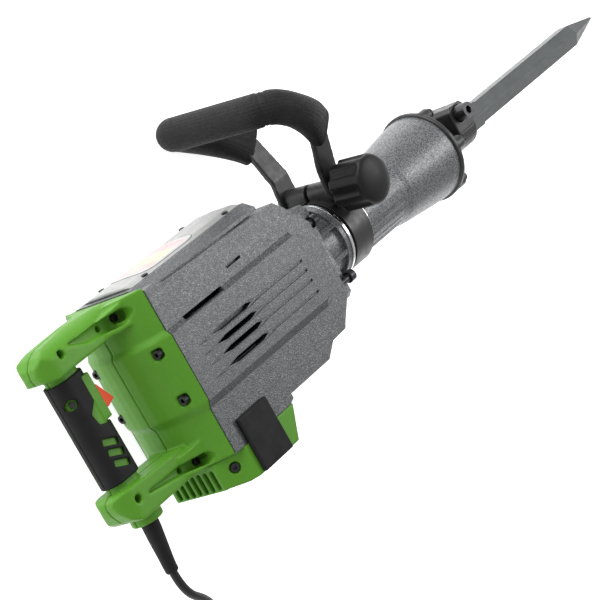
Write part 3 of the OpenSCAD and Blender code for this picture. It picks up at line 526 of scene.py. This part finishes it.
rings, uvs, sides = sweep(grip_path, grip_section, (0.75, 0.65, 0))
grip = add_mesh("side_grip", [swivelled(*p) for p in rings], grid_faces(len(grip_path), sides), "knurl",
                "side_handle", uvs=uvs)
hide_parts("handle_grip")

# ---------------------------------------------------------------- clamp knob
KNOB_A, KNOB_U, KNOB_BACK, KNOB_R = 61, 49, 38.0, 28.0
FLUTE_R, FLUTE_AT, FLUTES = 9.0, 33.5, 8


def flute_depth(angle):
    """How deep a round flute cuts into the knob at this angle."""
    pitch = 2*math.pi/FLUTES
    off = (angle + pitch/2) % pitch - pitch/2
    if abs(FLUTE_AT*math.sin(off)) >= FLUTE_R:
        return 0.0
    return max(0.0, KNOB_R - FLUTE_AT*math.cos(off) + math.sqrt(FLUTE_R**2 - (FLUTE_AT*math.sin(off))**2))


def knob_rings():
    """Rings of the knob from its hub to its crown, with the flutes fading out at both ends."""
    sides = 192
    profile = [(0, 15.2), (0.8, 16), (8.9, 16), (9.1, 25.5), (9.8, 27), (11.5, 28)]
    profile += [(z, 28) for z in range(13, 47, 2)]
    profile += [(48, 27.7), (50.2, 26.8), (52, 25.2), (53.4, 22.8)]
    profile += [(54.6, 19), (55.8, 14), (56.6, 8), (57, 2)]
    points = []
    for z, r in profile:
        for k in range(sides):
            angle = 2*math.pi*k/sides
            rr = r - flute_depth(angle)*ease((z - 8.9)/0.4)*ease((51 - z)/7)
            points.append(swivelled(KNOB_A + rr*math.cos(angle), KNOB_U + rr*math.sin(angle),
                                    KNOB_BACK + z))
    return points, len(profile), sides


points, count, sides = knob_rings()
knob = add_mesh("fluted_knob", points, grid_faces(count, sides), "plastic", "knob")
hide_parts("clamp_knob")


# ---------------------------------------------------------------- label on the top cover
LABEL_A, LABEL_LONG, LABEL_WIDE = -190, 90, 62
LABEL_RINGS, LABEL_SIDES = 14, 96
LABEL_PROUD = 0.25


def cover_top(s):
    """Height of the top cover's outside at distance s from the middle plane."""
    return 100 - abs(s)/26 if abs(s) < 26 else 99 - 3*(abs(s) - 26)/12.8


points, uvs = [], []
for i in range(LABEL_RINGS):
    f = (i + 0.3)/(LABEL_RINGS - 0.7)
    for k in range(LABEL_SIDES):
        angle = 2*math.pi*k/LABEL_SIDES
        c, d = math.cos(angle), math.sin(angle)
        a = LABEL_A + f*LABEL_LONG/2*math.copysign(abs(c)**0.3, c)
        across = f*LABEL_WIDE/2*math.copysign(abs(d)**0.45, d)
        points.append(tool(a, cover_top(across) + LABEL_PROUD, across))
        uvs.append((0.5 + (a - LABEL_A)/LABEL_LONG, f))
walls = grid_faces(LABEL_RINGS, LABEL_SIDES)
label = add_mesh("cover_label", points, walls[:-1], "label", "housing", uvs=uvs)


# ---------------------------------------------------------------- floor and light
bpy.ops.mesh.primitive_plane_add(size=30, location=(0, 0, 0))
floor = bpy.context.object
floor.name = "floor"
white = Paint("floor_white", (0.92, 0.92, 0.92), 0.6, Emission_Color=(1, 1, 1, 1), Emission_Strength=0.8)
white.mix(white.ramp(white.noise(2, 2), 0.4, 0.7, 0, 0.3), (0.9, 0.9, 0.9))
floor.data.materials.append(white.material)

world = bpy.data.worlds.new("studio")
world.use_nodes = True
world.node_tree.nodes["Background"].inputs["Color"].default_value = (1, 1, 1, 1)
world.node_tree.nodes["Background"].inputs["Strength"].default_value = 0.6
bpy.context.scene.world = world
bpy.context.scene.view_settings.view_transform = "Standard"


def area(name, towards, distance, size, power):
    """A square area light that faces the tool."""
    light = bpy.data.lights.new(name, "AREA")
    light.energy = power
    light.size = size
    lamp = bpy.data.objects.new(name, light)
    bpy.context.collection.objects.link(lamp)
    towards = Vector(towards).normalized()
    lamp.location = towards*distance
    lamp.rotation_euler = towards.to_track_quat("Z", "Y").to_euler()
    return lamp


area("key", UP*0.75 + BACK*0.55 + RIGHT*-0.25, 2.6, 1.6, 50)
area("fill", BACK*0.8 + RIGHT*-0.8 + UP*0.1, 2.8, 2.2, 22)
area("rim", UP*0.5 + RIGHT*0.9 + BACK*0.1, 2.8, 1.2, 28)
